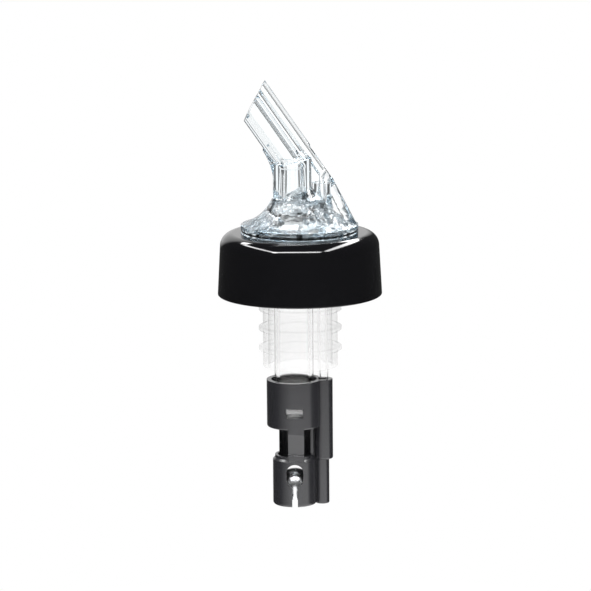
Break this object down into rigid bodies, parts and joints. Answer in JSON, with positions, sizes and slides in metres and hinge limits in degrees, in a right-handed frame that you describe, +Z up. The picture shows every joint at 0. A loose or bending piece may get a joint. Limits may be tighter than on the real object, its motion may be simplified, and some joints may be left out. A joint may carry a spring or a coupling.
{
  "type": "measured liquor pourer",
  "caption": "Bottle pourer with a slanted clear spout, black collar, finned cork and a ball-timed metering tail that ends each pour by itself.",
  "frame": {"origin": "on the cork's axis, in the plane of the bottle's lip", "axes": "+Z up along the cork out of the bottle, +X towards the breather, so the spout leans towards -X"},
  "size_m": [0.044, 0.044, 0.1152],
  "materials": {
    "clear_plastic": "clear, polished",
    "black_gloss": "gloss",
    "milky_elastomer": "translucent, smooth",
    "clear_tube": "clear, smooth",
    "black_satin": "satin",
    "polished_steel": "polished"
  },
  "bodies": {
    "pourer": {"pour_spout": "clear_plastic", "collar": "black_gloss", "cork": "milky_elastomer", "delivery_tube": "clear_tube", "breather_tube": "clear_tube", "metering_body": "black_satin"},
    "metering_ball": {"metering_ball": "polished_steel"},
    "check_ball": {"check_ball": "polished_steel"}
  },
  "joints": [
    {"name": "metering_ball_travel", "type": "slide", "parent": "pourer", "child": "metering_ball", "axis": [0, 0, 1], "range_m": [0, 0.0167]},
    {"name": "check_ball_travel", "type": "slide", "parent": "pourer", "child": "check_ball", "axis": [0, 0, 1], "range_m": [0, 0.011]}
  ]
}
